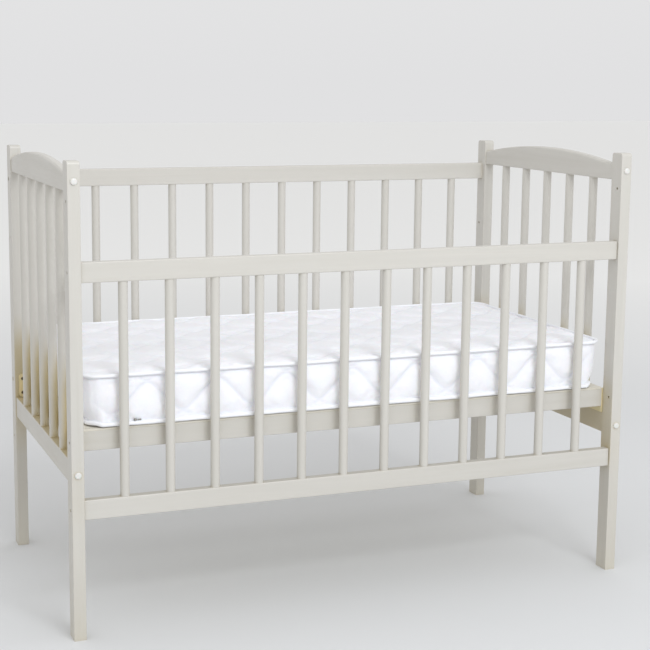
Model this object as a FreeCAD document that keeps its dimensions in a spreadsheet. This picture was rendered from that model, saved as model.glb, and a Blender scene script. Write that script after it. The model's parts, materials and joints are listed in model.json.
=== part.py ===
import FreeCAD, Part
import math
import os
import Sketcher

# Baby crib for a 120 x 60 cm mattress: four posts, two arched end panels, a fixed rear panel,
# a front gate that drops, a mattress base and a mattress. Sizes in mm.
# X is the length, Y the depth with the gate at -Y, Z up. Origin: bottom centre of the crib.

V = FreeCAD.Vector
X_AXIS = V(1, 0, 0)
Y_AXIS = V(0, 1, 0)
Z_AXIS = V(0, 0, 1)

SIZES = [
    ("crib_length", "1250"),
    ("crib_depth", "660"),
    ("post_height", "948"),
    ("post_width", "25"),
    ("post_depth", "39"),
    ("post_round", "7"),
    ("post_ease", "1.5"),
    ("rail_height", "40"),
    ("rail_thick", "20"),
    ("rail_ease", "2"),
    ("panel_inset", "5"),
    ("dowel_dia", "19"),
    ("tenon_dia", "12"),
    ("tenon_length", "12"),
    ("socket_dia", "12.2"),
    ("socket_depth", "12.5"),
    ("side_dowels", "12"),
    ("end_dowels", "5"),
    ("upper_hole_z", "870"),
    ("lower_hole_z", "400"),
    ("gate_drop", "136"),
    ("gate_gap", "1"),
    ("hole_dia", "6.4"),
    ("arch_bottom_z", "888"),
    ("arch_end_height", "33"),
    ("arch_rise", "25"),
    ("arch_round", "5"),
    ("end_rail_top_z", "360"),
    ("end_rail_height", "46"),
    ("upper_screw_z", "909"),
    ("lower_screw_z", "337"),
    ("screw_dia", "6.3"),
    ("screw_length", "66"),
    ("screw_head_dia", "10"),
    ("screw_head_thick", "4.5"),
    ("screw_recess", "6"),
    ("screw_bore", "10.4"),
    ("cap_dia", "14"),
    ("cap_dome", "4"),
    ("cap_round", "3.6"),
    ("cap_plug", "1.3"),
    ("pin_dia", "5.6"),
    ("pin_length", "40"),
    ("pin_throw", "12"),
    ("pin_bore_depth", "44"),
    ("peg_dia", "4.6"),
    ("peg_reach", "13"),
    ("peg_offset", "24"),
    ("peg_slot_height", "5.4"),
    ("base_rail_z", "374.5"),
    ("base_rail_height", "40"),
    ("base_rail_thick", "18"),
    ("base_inset", "39"),
    ("base_end_gap", "3"),
    ("board_thick", "4"),
    ("vent_dia", "26"),
    ("vent_columns", "12"),
    ("bracket_inset", "9.5"),
    ("bracket_z", "361"),
    ("bracket_height", "55"),
    ("bracket_post_thick", "5"),
    ("bracket_base_reach", "50"),
    ("bracket_round", "7"),
    ("bracket_hole_dia", "4.2"),
    ("bracket_hole_side", "8"),
    ("bracket_hole_edge", "11"),
    ("bracket_base_hole", "26"),
    ("bracket_base_column", "38"),
    ("bracket_seat_dia", "7.6"),
    ("bracket_post_seat", "2.2"),
    ("bracket_base_seat", "1.4"),
    ("wood_screw_dia", "3.8"),
    ("wood_screw_length", "15"),
    ("wood_screw_head", "7"),
    ("wood_screw_crown", "2"),
    ("mattress_length", "1188"),
    ("mattress_width", "598"),
    ("mattress_height", "110"),
    ("mattress_corner", "34"),
    ("mattress_edge", "9"),
    ("mattress_z", "419"),
]

DERIVED = [
    ("inner_length", "=crib_length - 2 * post_width"),
    ("inner_depth", "=crib_depth - 2 * post_depth"),
    ("side_pitch", "=(inner_length + dowel_dia) / (side_dowels + 1)"),
    ("end_pitch", "=(inner_depth + dowel_dia) / (end_dowels + 1)"),
    ("panel_height", "=upper_hole_z - lower_hole_z - rail_height"),
    ("end_height", "=arch_bottom_z - end_rail_top_z"),
    ("base_length", "=inner_length - 2 * base_end_gap"),
    ("base_depth", "=crib_depth - 2 * base_inset"),
    ("base_end_length", "=base_depth - 2 * base_rail_thick"),
    ("vent_pitch", "=base_length / (vent_columns + 1)"),
    ("bracket_width", "=post_width - bracket_inset + base_end_gap"),
    ("arch_radius", "=(arch_rise ^ 2 + (inner_depth / 2) ^ 2) / (2 * arch_rise)"),
]

doc = FreeCAD.newDocument("crib")
sheet = doc.addObject("Spreadsheet::Sheet", "Sizes")
for row, (alias, text) in enumerate(SIZES + DERIVED, start=1):
    sheet.set("A%d" % row, alias)
    sheet.set("B%d" % row, text)
    sheet.setAlias("B%d" % row, alias)
doc.recompute()


def size(alias):
    return float(sheet.get(alias))


def plane(body, role):
    """One of a body's own origin planes or axes."""
    for feature in body.Origin.OriginFeatures:
        if feature.Role == role:
            return feature
    raise ValueError(role)


def new_body(label):
    body = doc.addObject("PartDesign::Body", label)
    body.Label = label
    return body


def new_sketch(body, name, role):
    sketch = body.newObject("Sketcher::SketchObject", name)
    sketch.AttachmentSupport = [(plane(body, role), "")]
    sketch.MapMode = "FlatFace"
    return sketch


def dimension(sketch, constraint, expression):
    """Add a constraint and drive its value from the sheet."""
    index = sketch.addConstraint(constraint)
    sketch.setExpression("Constraints[%d]" % index, expression)


def rectangle(sketch, low, high):
    """Axis-aligned rectangle; low and high are pairs of expressions for its two corners."""
    corners = [V(0, 0, 0), V(10, 0, 0), V(10, 10, 0), V(0, 10, 0)]
    for i in range(4):
        sketch.addGeometry(Part.LineSegment(corners[i], corners[(i + 1) % 4]), False)
    for i in range(4):
        sketch.addConstraint(Sketcher.Constraint("Coincident", i, 2, (i + 1) % 4, 1))
    for i in (0, 2):
        sketch.addConstraint(Sketcher.Constraint("Horizontal", i))
    for i in (1, 3):
        sketch.addConstraint(Sketcher.Constraint("Vertical", i))
    dimension(sketch, Sketcher.Constraint("DistanceX", -1, 1, 0, 1, 0.0), low[0])
    dimension(sketch, Sketcher.Constraint("DistanceY", -1, 1, 0, 1, 0.0), low[1])
    dimension(sketch, Sketcher.Constraint("DistanceX", -1, 1, 1, 2, 10.0), high[0])
    dimension(sketch, Sketcher.Constraint("DistanceY", -1, 1, 1, 2, 10.0), high[1])


def circle(sketch, x, y, diameter):
    """Circle at (x, y); all three are expressions."""
    index = sketch.addGeometry(Part.Circle(V(5, 5, 0), Z_AXIS, 2.0), False)
    dimension(sketch, Sketcher.Constraint("DistanceX", -1, 1, index, 3, 5.0), x)
    dimension(sketch, Sketcher.Constraint("DistanceY", -1, 1, index, 3, 5.0), y)
    dimension(sketch, Sketcher.Constraint("Diameter", index, 4.0), diameter)


def pad(body, name, sketch, length, back=False):
    feature = body.newObject("PartDesign::Pad", name)
    feature.Profile = sketch
    feature.setExpression("Length", length)
    feature.Reversed = back
    body.Tip = feature
    return feature


def pocket(body, name, sketch, depth, back=False):
    """Blind pocket of the given depth, or right through when depth is None."""
    feature = body.newObject("PartDesign::Pocket", name)
    feature.Profile = sketch
    if depth is None:
        feature.Type = "ThroughAll"
    else:
        feature.setExpression("Length", depth)
    feature.Reversed = back
    body.Tip = feature
    return feature


def repeat(body, name, feature, role, pitch, count):
    """Linear pattern of a feature: count copies, one pitch apart."""
    pattern = body.newObject("PartDesign::LinearPattern", name)
    pattern.Originals = [feature]
    pattern.Direction = (plane(body, role), [""])
    pattern.setExpression("Length", "%s * (%s - 1)" % (pitch, count))
    pattern.setExpression("Occurrences", count)
    body.Tip = pattern
    return pattern


def straight_edges(shape, direction, least):
    """Names of the straight edges longer than least that run along a direction."""
    names = []
    for number, edge in enumerate(shape.Edges, start=1):
        if isinstance(edge.Curve, Part.Line) and edge.Length > least:
            if abs(edge.Curve.Direction.dot(direction)) > 0.999:
                names.append("Edge%d" % number)
    return names


def soften(body, name, base, edges, radius):
    """Round the named edges."""
    feature = body.newObject("PartDesign::Fillet", name)
    feature.Base = (base, edges)
    feature.setExpression("Radius", radius)
    body.Tip = feature
    return feature


def place(thing, x, y, z, *turns):
    """Put a sub-part at a point, after any number of (axis, degrees) turns, last one first."""
    rotation = FreeCAD.Rotation()
    for axis, degrees in turns:
        rotation = rotation.multiply(FreeCAD.Rotation(axis, degrees))
    thing.Placement = FreeCAD.Placement(V(x, y, z), rotation)


def cylinder(name, diameter, length, at, direction):
    """Round bar from the point at; its diameter and length are expressions."""
    part = doc.addObject("Part::Cylinder", name)
    part.setExpression("Radius", "%s / 2" % diameter)
    part.setExpression("Height", length)
    part.Placement = FreeCAD.Placement(at, FreeCAD.Rotation(Z_AXIS, direction))
    return part


def fuse(name, pieces):
    """One solid out of several overlapping ones."""
    whole = doc.addObject("Part::MultiFuse", name)
    whole.Shapes = pieces
    whole.Label = name
    return whole


def group(label, pieces):
    """Separate identical solids that share one sub-part."""
    whole = doc.addObject("Part::Compound", label)
    whole.Links = pieces
    whole.Label = label
    return whole


# Lines and planes that the sub-parts are placed on.
HALF_X = size("crib_length") / 2
HALF_Y = size("crib_depth") / 2
INNER_X = HALF_X - size("post_width")
INNER_Y = HALF_Y - size("post_depth")
END_X = HALF_X - size("post_width") / 2
RAIL_Y = HALF_Y - size("panel_inset") - size("rail_thick") / 2
SIDES = (("left", -1), ("right", 1))
NODES = []


def node(thing):
    """Keep a finished sub-part for export."""
    NODES.append(thing)
    return thing


# --- Posts -------------------------------------------------------------------------------
# Local frame: the outer X face is x = 0 and the outer Y face is y = 0. hand is +1 when the
# wood lies towards +X from that corner. The four cross holes serve the rails of a side in its
# upper and lower positions; two holes along Y take the screws of the end panel.

def post(label, hand, screw_heads):
    body = new_body(label)
    outline = new_sketch(body, label + "_outline", "YZ_Plane")
    depth = size("post_depth")
    top = size("post_height")
    r = size("post_round")
    outline.addGeometry(Part.LineSegment(V(0, 0, 0), V(depth, 0, 0)), False)
    outline.addGeometry(Part.LineSegment(V(depth, 0, 0), V(depth, top - r, 0)), False)
    back = Part.Circle(V(depth - r, top - r, 0), Z_AXIS, r)
    outline.addGeometry(Part.ArcOfCircle(back, 0, 0.5 * math.pi), False)
    outline.addGeometry(Part.LineSegment(V(depth - r, top, 0), V(r, top, 0)), False)
    front = Part.Circle(V(r, top - r, 0), Z_AXIS, r)
    outline.addGeometry(Part.ArcOfCircle(front, 0.5 * math.pi, math.pi), False)
    outline.addGeometry(Part.LineSegment(V(0, top - r, 0), V(0, 0, 0)), False)
    outline.addConstraint(Sketcher.Constraint("Coincident", 0, 2, 1, 1))
    outline.addConstraint(Sketcher.Constraint("Tangent", 1, 2, 2, 1))
    outline.addConstraint(Sketcher.Constraint("Tangent", 2, 2, 3, 1))
    outline.addConstraint(Sketcher.Constraint("Tangent", 3, 2, 4, 1))
    outline.addConstraint(Sketcher.Constraint("Tangent", 4, 2, 5, 1))
    outline.addConstraint(Sketcher.Constraint("Coincident", 5, 2, 0, 1))
    outline.addConstraint(Sketcher.Constraint("Coincident", 0, 1, -1, 1))
    outline.addConstraint(Sketcher.Constraint("Horizontal", 0))
    outline.addConstraint(Sketcher.Constraint("Vertical", 1))
    outline.addConstraint(Sketcher.Constraint("Vertical", 5))
    outline.addConstraint(Sketcher.Constraint("Equal", 2, 4))
    dimension(outline, Sketcher.Constraint("DistanceX", 0, 1, 0, 2, depth), "Sizes.post_depth")
    dimension(outline, Sketcher.Constraint("DistanceY", -1, 1, 3, 1, top), "Sizes.post_height")
    dimension(outline, Sketcher.Constraint("Radius", 2, r), "Sizes.post_round")
    stem = pad(body, label + "_stem", outline, "Sizes.post_width", hand < 0)
    doc.recompute()
    edges = straight_edges(stem.Shape, Z_AXIS, 500)
    soften(body, label + "_ease", stem, edges, "Sizes.post_ease")

    rail_line = "Sizes.panel_inset + Sizes.rail_thick / 2"
    cross = new_sketch(body, label + "_cross_holes", "YZ_Plane")
    for level in ("upper", "lower"):
        height = "Sizes.%s_hole_z" % level
        circle(cross, rail_line, height, "Sizes.hole_dia")
        circle(cross, rail_line, height + " - Sizes.gate_drop", "Sizes.hole_dia")
    pocket(body, label + "_cross_bore", cross, None, hand > 0)

    middle = "%d * Sizes.post_width / 2" % hand
    for suffix, diameter, depth_text in (
        ("screw_holes", "Sizes.hole_dia", None),
        ("screw_seats", "Sizes.screw_bore", "Sizes.screw_recess"),
    ):
        holes = new_sketch(body, label + "_" + suffix, "XZ_Plane")
        circle(holes, middle, "Sizes.upper_screw_z", diameter)
        circle(holes, middle, "Sizes.lower_screw_z", diameter)
        pocket(body, label + "_" + suffix + "_bore", holes, depth_text)

    if screw_heads:
        seats = new_sketch(body, label + "_side_seats", "YZ_Plane")
        circle(seats, rail_line, "Sizes.upper_hole_z", "Sizes.screw_bore")
        circle(seats, rail_line, "Sizes.lower_hole_z", "Sizes.screw_bore")
        pocket(body, label + "_side_seats_bore", seats, "Sizes.screw_recess", hand > 0)
    return node(body)


for side, sx in SIDES:
    place(post("post_front_" + side, -sx, False), sx * HALF_X, -HALF_Y, 0)
    place(post("post_rear_" + side, sx, True), sx * HALF_X, HALF_Y, 0, (Z_AXIS, 180))


# --- Dowels ------------------------------------------------------------------------------
# A turned round bar with a thinner tenon at each end. z = 0 is the lower shoulder.

def dowel(label, shoulder_height):
    bar = cylinder(label + "_bar", "Sizes.dowel_dia", shoulder_height, V(0, 0, 0), Z_AXIS)
    whole_height = shoulder_height + " + 2 * Sizes.tenon_length"
    foot = V(0, 0, -size("tenon_length"))
    tenon = cylinder(label + "_tenon", "Sizes.tenon_dia", whole_height, foot, Z_AXIS)
    return node(fuse(label, [bar, tenon]))


def side_dowels(prefix, y, z):
    """The twelve dowels of a side panel, with equal gaps between the posts."""
    for number in range(1, int(size("side_dowels")) + 1):
        x = number * size("side_pitch") - size("dowel_dia") / 2 - INNER_X
        place(dowel("%s_dowel_%02d" % (prefix, number), "Sizes.panel_height"), x, y, z)


# --- Rails -------------------------------------------------------------------------------
# Local frame: a rail runs along X from x = 0, its socketed face is z = 0 and the wood lies
# above it; y = 0 is its centre line. Lower rails are the same part turned over about Y.

SIDE_FIRST = "Sizes.side_pitch - Sizes.dowel_dia / 2"
END_FIRST = "Sizes.end_pitch - Sizes.dowel_dia / 2"
SCREW_REACH = "Sizes.screw_recess + Sizes.screw_length + 2"


def sockets(body, first, pitch, count):
    """A row of blind holes for dowel tenons."""
    sketch = new_sketch(body, body.Label + "_socket", "XY_Plane")
    circle(sketch, first, "0", "Sizes.socket_dia")
    hole = pocket(body, body.Label + "_socket_bore", sketch, "Sizes.socket_depth", True)
    repeat(body, body.Label + "_sockets", hole, "X_Axis", pitch, count)


def end_bores(body, length, height, diameter, depth):
    """A bore into each end of a rail, on its centre line, at a height above the sockets."""
    for end, start, forward in (("near", "0", True), ("far", length, False)):
        name = "%s_%s_bore" % (body.Label, end)
        sketch = new_sketch(body, name, "YZ_Plane")
        sketch.setExpression("AttachmentOffset.Base.z", start)
        circle(sketch, "0", height, diameter)
        pocket(body, name + "_cut", sketch, depth, forward)


def straight_rail(label, length, height):
    body = new_body(label)
    section = new_sketch(body, label + "_section", "YZ_Plane")
    rectangle(section, ("-Sizes.rail_thick / 2", "0"), ("Sizes.rail_thick / 2", height))
    bar = pad(body, label + "_bar", section, length)
    doc.recompute()
    soften(body, label + "_ease", bar, straight_edges(bar.Shape, X_AXIS, 100), "Sizes.rail_ease")
    return node(body)


def side_rail(label, length, first):
    rail = straight_rail(label, length, "Sizes.rail_height")
    sockets(rail, first, "Sizes.side_pitch", "Sizes.side_dowels")
    return rail


# --- Rear panel --------------------------------------------------------------------------

PANEL_TOP = size("upper_hole_z") - size("rail_height") / 2
PANEL_BOTTOM = size("lower_hole_z") + size("rail_height") / 2

for label in ("rear_top_rail", "rear_bottom_rail"):
    rail = side_rail(label, "Sizes.inner_length", SIDE_FIRST)
    reach = SCREW_REACH + " - Sizes.post_width"
    end_bores(rail, "Sizes.inner_length", "Sizes.rail_height / 2", "Sizes.hole_dia", reach)
    if label == "rear_top_rail":
        place(rail, -INNER_X, RAIL_Y, PANEL_TOP)
    else:
        place(rail, INNER_X, RAIL_Y, PANEL_BOTTOM, (Y_AXIS, 180))

side_dowels("rear", RAIL_Y, PANEL_BOTTOM)


# --- Gate --------------------------------------------------------------------------------
# The same panel, a little shorter so that it slides between the front posts, drawn lowered.
# Each rail end has a bore for a locking pin, and a slot behind for the peg that moves it.

GATE_LENGTH = "Sizes.inner_length - 2 * Sizes.gate_gap"
GATE_X = INNER_X - size("gate_gap")
GATE_TOP = PANEL_TOP - size("gate_drop")
GATE_BOTTOM = PANEL_BOTTOM - size("gate_drop")


def peg_slots(rail):
    """Slots from the pin bores out through the back of a gate rail."""
    low = "Sizes.rail_height / 2 - Sizes.peg_slot_height / 2"
    high = "Sizes.rail_height / 2 + Sizes.peg_slot_height / 2"
    near = "Sizes.peg_offset - Sizes.pin_throw - Sizes.peg_slot_height / 2"
    far = "Sizes.peg_offset + Sizes.peg_slot_height / 2"
    ends = (
        ("near", near, far),
        ("far", "%s - (%s)" % (GATE_LENGTH, far), "%s - (%s)" % (GATE_LENGTH, near)),
    )
    for end, start, stop in ends:
        name = "%s_%s_slot" % (rail.Label, end)
        sketch = new_sketch(rail, name, "XZ_Plane")
        rectangle(sketch, (start, low), (stop, high))
        pocket(rail, name + "_cut", sketch, None)


for label in ("gate_top_rail", "gate_bottom_rail"):
    rail = side_rail(label, GATE_LENGTH, SIDE_FIRST + " - Sizes.gate_gap")
    end_bores(rail, GATE_LENGTH, "Sizes.rail_height / 2", "Sizes.hole_dia", "Sizes.pin_bore_depth")
    peg_slots(rail)
    if label == "gate_top_rail":
        place(rail, -GATE_X, -RAIL_Y, GATE_TOP)
    else:
        place(rail, GATE_X, -RAIL_Y, GATE_BOTTOM, (Y_AXIS, 180))

side_dowels("gate", -RAIL_Y, GATE_BOTTOM)


def gate_pin(label, sx):
    """Locking pin drawn back until its tip is flush with the rail's end, with its peg."""
    tip = V(0, 0, 0)
    pin = cylinder(label + "_pin", "Sizes.pin_dia", "Sizes.pin_length", tip, V(-sx, 0, 0))
    root = V(-sx * size("peg_offset"), 0, 0)
    peg = cylinder(label + "_peg", "Sizes.peg_dia", "Sizes.peg_reach", root, Y_AXIS)
    return node(fuse(label, [pin, peg]))


for level, z in (("top", size("upper_hole_z")), ("bottom", size("lower_hole_z"))):
    for side, sx in SIDES:
        pin = gate_pin("gate_pin_%s_%s" % (level, side), sx)
        place(pin, sx * GATE_X, -RAIL_Y, z - size("gate_drop"))


# --- End panels --------------------------------------------------------------------------

def arch_rail(label):
    """Top rail of an end panel: flat below, one shallow arc above."""
    body = new_body(label)
    outline = new_sketch(body, label + "_outline", "XZ_Plane")
    outline.setExpression("AttachmentOffset.Base.z", "-Sizes.rail_thick / 2")
    width = size("inner_depth")
    end = size("arch_end_height")
    radius = size("arch_radius")
    outline.addGeometry(Part.LineSegment(V(0, 0, 0), V(width, 0, 0)), False)
    outline.addGeometry(Part.LineSegment(V(width, 0, 0), V(width, end, 0)), False)
    crown = V(width / 2, end + size("arch_rise"), 0)
    outline.addGeometry(Part.Arc(V(width, end, 0), crown, V(0, end, 0)), False)
    outline.addGeometry(Part.LineSegment(V(0, end, 0), V(0, 0, 0)), False)
    arc_start, arc_end = (1, 2)
    first = outline.Geometry[2].StartPoint
    if abs(first.x) < 1:
        arc_start, arc_end = (2, 1)
    outline.addConstraint(Sketcher.Constraint("Coincident", 0, 2, 1, 1))
    outline.addConstraint(Sketcher.Constraint("Coincident", 1, 2, 2, arc_start))
    outline.addConstraint(Sketcher.Constraint("Coincident", 2, arc_end, 3, 1))
    outline.addConstraint(Sketcher.Constraint("Coincident", 3, 2, 0, 1))
    outline.addConstraint(Sketcher.Constraint("Coincident", 0, 1, -1, 1))
    outline.addConstraint(Sketcher.Constraint("Horizontal", 0))
    outline.addConstraint(Sketcher.Constraint("Vertical", 1))
    outline.addConstraint(Sketcher.Constraint("Vertical", 3))
    outline.addConstraint(Sketcher.Constraint("Equal", 1, 3))
    dimension(outline, Sketcher.Constraint("DistanceX", 0, 1, 0, 2, width), "Sizes.inner_depth")
    dimension(outline, Sketcher.Constraint("DistanceY", 1, 1, 1, 2, end), "Sizes.arch_end_height")
    dimension(outline, Sketcher.Constraint("Radius", 2, radius), "Sizes.arch_radius")
    slab = pad(body, label + "_slab", outline, "Sizes.rail_thick")
    doc.recompute()
    crest = []
    for number, edge in enumerate(slab.Shape.Edges, start=1):
        if not isinstance(edge.Curve, Part.Line):
            crest.append("Edge%d" % number)
    top = soften(body, label + "_crest", slab, crest, "Sizes.arch_round")
    doc.recompute()
    soften(body, label + "_ease", top, straight_edges(top.Shape, X_AXIS, 500), "Sizes.rail_ease")
    return node(body)


for side, sx in SIDES:
    arch = arch_rail("end_%s_arch_rail" % side)
    sill = straight_rail("end_%s_bottom_rail" % side, "Sizes.inner_depth", "Sizes.end_rail_height")
    reach = SCREW_REACH + " - Sizes.post_depth"
    heights = (
        (arch, "Sizes.upper_screw_z - Sizes.arch_bottom_z"),
        (sill, "Sizes.end_rail_top_z - Sizes.lower_screw_z"),
    )
    for rail, height in heights:
        sockets(rail, END_FIRST, "Sizes.end_pitch", "Sizes.end_dowels")
        end_bores(rail, "Sizes.inner_depth", height, "Sizes.hole_dia", reach)
    x = sx * END_X
    place(arch, x, -INNER_Y, size("arch_bottom_z"), (Z_AXIS, 90))
    place(sill, x, INNER_Y, size("end_rail_top_z"), (Z_AXIS, 90), (Y_AXIS, 180))
    for number in range(1, int(size("end_dowels")) + 1):
        y = number * size("end_pitch") - size("dowel_dia") / 2 - INNER_Y
        bar = dowel("end_%s_dowel_%d" % (side, number), "Sizes.end_height")
        place(bar, x, y, size("end_rail_top_z"))


# --- Frame screws and their caps ---------------------------------------------------------

def frame_screw(name, at, direction):
    """at is on the post's outer face; direction points out of the post."""
    seat = at - direction * size("screw_recess")
    head = cylinder(name + "_head", "Sizes.screw_head_dia", "Sizes.screw_head_thick", seat, direction)
    stem = cylinder(name + "_stem", "Sizes.screw_dia", "Sizes.screw_length", seat, -direction)
    return fuse(name, [head, stem])


def screw_cap(label, at, turn):
    """Shallow dome on the post's face, with a short plug in the screw's recess."""
    body = doc.addObject("PartDesign::Body", label)
    for kind, diameter, length, back in (
        ("dome", "Sizes.cap_dia", "Sizes.cap_dome", False),
        ("plug", "Sizes.screw_head_dia", "Sizes.cap_plug", True),
    ):
        sketch = new_sketch(body, "%s_%s_round" % (label, kind), "XY_Plane")
        circle(sketch, "0", "0", diameter)
        disc = pad(body, "%s_%s" % (label, kind), sketch, length, back)
        if kind == "dome":
            doc.recompute()
            rim = []
            for number, edge in enumerate(disc.Shape.Edges, start=1):
                if edge.BoundBox.ZMin > 1 and edge.BoundBox.ZLength < 0.01:
                    rim.append("Edge%d" % number)
            soften(body, label + "_crown", disc, rim, "Sizes.cap_round")
    place(body, at.x, at.y, at.z, (X_AXIS, turn))
    return body


screws = []
caps = []
for side, sx in SIDES:
    for row, sy in (("front", -1), ("rear", 1)):
        for level in ("upper", "lower"):
            name = "%s_%s_%s" % (row, side, level)
            face = V(sx * END_X, sy * HALF_Y, size(level + "_screw_z"))
            screws.append(frame_screw("screw_" + name, face, V(0, sy, 0)))
            caps.append(screw_cap("cap_" + name, face, -90 * sy))
    for level in ("upper", "lower"):
        face = V(sx * HALF_X, RAIL_Y, size(level + "_hole_z"))
        screws.append(frame_screw("screw_side_%s_%s" % (side, level), face, V(sx, 0, 0)))
node(group("frame_screws", screws))
node(group("screw_caps", caps))


# --- Mattress base -----------------------------------------------------------------------

def base_bar(label, length, thick):
    body = new_body(label)
    section = new_sketch(body, label + "_section", "YZ_Plane")
    rectangle(section, ("0", "0"), (thick, "Sizes.base_rail_height"))
    bar = pad(body, label + "_bar", section, length)
    doc.recompute()
    soften(body, label + "_ease", bar, straight_edges(bar.Shape, X_AXIS, 100), "1.5")
    return node(body)


BASE_X = size("base_length") / 2
BASE_Y = size("base_depth") / 2
BASE_Z = size("base_rail_z")
THICK = size("base_rail_thick")
for row, y in (("front", -BASE_Y), ("rear", BASE_Y - THICK)):
    bar = base_bar("base_%s_rail" % row, "Sizes.base_length", "Sizes.base_rail_thick")
    place(bar, -BASE_X, y, BASE_Z)
for side, sx in SIDES:
    bar = base_bar("base_%s_rail" % side, "Sizes.base_end_length", "Sizes.base_rail_thick")
    x = -BASE_X + THICK if sx < 0 else BASE_X
    place(bar, x, -BASE_Y + THICK, BASE_Z, (Z_AXIS, 90))


def base_board(label):
    """Thin board on the base rails, with rows of ventilation holes."""
    body = new_body(label)
    outline = new_sketch(body, label + "_outline", "XY_Plane")
    rectangle(outline, ("0", "0"), ("Sizes.base_length", "Sizes.base_depth"))
    pad(body, label + "_sheet", outline, "Sizes.board_thick")
    column = new_sketch(body, label + "_column", "XY_Plane")
    for row in range(1, 5):
        circle(column, "Sizes.vent_pitch", "Sizes.base_depth * %d / 5" % row, "Sizes.vent_dia")
    holes = pocket(body, label + "_vents", column, None, True)
    repeat(body, label + "_vent_rows", holes, "X_Axis", "Sizes.vent_pitch", "Sizes.vent_columns")
    return node(body)


place(base_board("base_board"), -BASE_X, -BASE_Y, BASE_Z + size("base_rail_height"))


# --- Base brackets and their screws ------------------------------------------------------
# A moulded angle ties the base to each post: one leg lies on the post's inner face, the other
# in the gap beside the base. Local frame: x = 0 is the edge nearest the crib's end and hand is
# the way it runs from there; y = 0 is the post's inner face.

def post_leg(body, name, hand):
    """Leg on the post, with two holes and a seat for each screw head."""
    outline = new_sketch(body, name + "_post_outline", "XZ_Plane")
    corner = ("%d * Sizes.bracket_width" % hand, "Sizes.bracket_height")
    rectangle(outline, ("0", "0"), corner)
    leg = pad(body, name + "_post_leg", outline, "Sizes.bracket_post_thick", True)
    doc.recompute()
    outer = []
    for number, shape_edge in enumerate(leg.Shape.Edges, start=1):
        box = shape_edge.BoundBox
        if box.YLength > 1 and abs(box.Center.x) < 0.01:
            outer.append("Edge%d" % number)
    soften(body, name + "_post_corners", leg, outer, "Sizes.bracket_round")
    holes = new_sketch(body, name + "_post_holes", "XZ_Plane")
    seats = new_sketch(body, name + "_post_seats", "XZ_Plane")
    seats.setExpression("AttachmentOffset.Base.z", "-Sizes.bracket_post_thick")
    x = "%d * Sizes.bracket_hole_side" % hand
    for z in ("Sizes.bracket_hole_edge", "Sizes.bracket_height - Sizes.bracket_hole_edge"):
        circle(holes, x, z, "Sizes.bracket_hole_dia")
        circle(seats, x, z, "Sizes.bracket_seat_dia")
    pocket(body, name + "_post_holes_cut", holes, None)
    pocket(body, name + "_post_seats_cut", seats, "Sizes.bracket_post_seat", True)


def base_leg(body, name, hand):
    """Thin leg beside the base's end rail, with two holes and seats on its outer face."""
    start = "%d * (Sizes.bracket_width - Sizes.base_end_gap)" % hand
    sketches = []
    for kind in ("outline", "holes", "seats"):
        sketch = new_sketch(body, "%s_base_%s" % (name, kind), "YZ_Plane")
        sketch.setExpression("AttachmentOffset.Base.z", start)
        sketches.append(sketch)
    outline, holes, seats = sketches
    rectangle(outline, ("0", "0"), ("Sizes.bracket_base_reach", "Sizes.bracket_height"))
    leg = pad(body, name + "_base_leg", outline, "Sizes.base_end_gap", hand < 0)
    doc.recompute()
    outer = []
    for number, shape_edge in enumerate(leg.Shape.Edges, start=1):
        box = shape_edge.BoundBox
        if box.YLength < 0.01 and box.ZLength < 0.01 and box.Center.y > 20:
            outer.append("Edge%d" % number)
    soften(body, name + "_base_corners", leg, outer, "Sizes.bracket_round")
    y = "Sizes.bracket_base_column"
    for z in ("Sizes.bracket_base_hole", "Sizes.bracket_height - Sizes.bracket_hole_edge"):
        circle(holes, y, z, "Sizes.bracket_hole_dia")
        circle(seats, y, z, "Sizes.bracket_seat_dia")
    pocket(body, name + "_base_holes_cut", holes, None, hand > 0)
    pocket(body, name + "_base_seats_cut", seats, "Sizes.bracket_base_seat", hand > 0)


def wood_screw(name, seat, direction):
    """seat is under the head; direction points out of the wood."""
    head = cylinder(name + "_head", "Sizes.wood_screw_head", "Sizes.wood_screw_crown", seat, direction)
    stem = cylinder(name + "_stem", "Sizes.wood_screw_dia", "Sizes.wood_screw_length", seat, -direction)
    return fuse(name, [head, stem])


brackets = []
bracket_screws = []
high = size("bracket_height") - size("bracket_hole_edge")
post_seat = size("bracket_post_thick") - size("bracket_post_seat")
bracket_z = size("bracket_z")
for side, sx in SIDES:
    for row, sy in (("front", -1), ("rear", 1)):
        name = "bracket_%s_%s" % (row, side)
        hand = sx * sy
        bracket = new_body(name)
        post_leg(bracket, name, hand)
        base_leg(bracket, name, hand)
        x = sx * (HALF_X - size("bracket_inset"))
        y = sy * INNER_Y
        if sy < 0:
            place(bracket, x, y, bracket_z)
        else:
            place(bracket, x, y, bracket_z, (Z_AXIS, 180))
        brackets.append(bracket)
        for height in (size("bracket_hole_edge"), high):
            seat = V(x - sx * size("bracket_hole_side"), y - sy * post_seat, bracket_z + height)
            bracket_screws.append(wood_screw("%s_post_%d" % (name, height), seat, V(0, -sy, 0)))
        for height in (size("bracket_base_hole"), high):
            seat_x = sx * (INNER_X - size("bracket_base_seat"))
            seat = V(seat_x, y - sy * size("bracket_base_column"), bracket_z + height)
            bracket_screws.append(wood_screw("%s_base_%d" % (name, height), seat, V(sx, 0, 0)))
node(group("base_brackets", brackets))
node(group("base_screws", bracket_screws))


# --- Mattress ----------------------------------------------------------------------------

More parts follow.
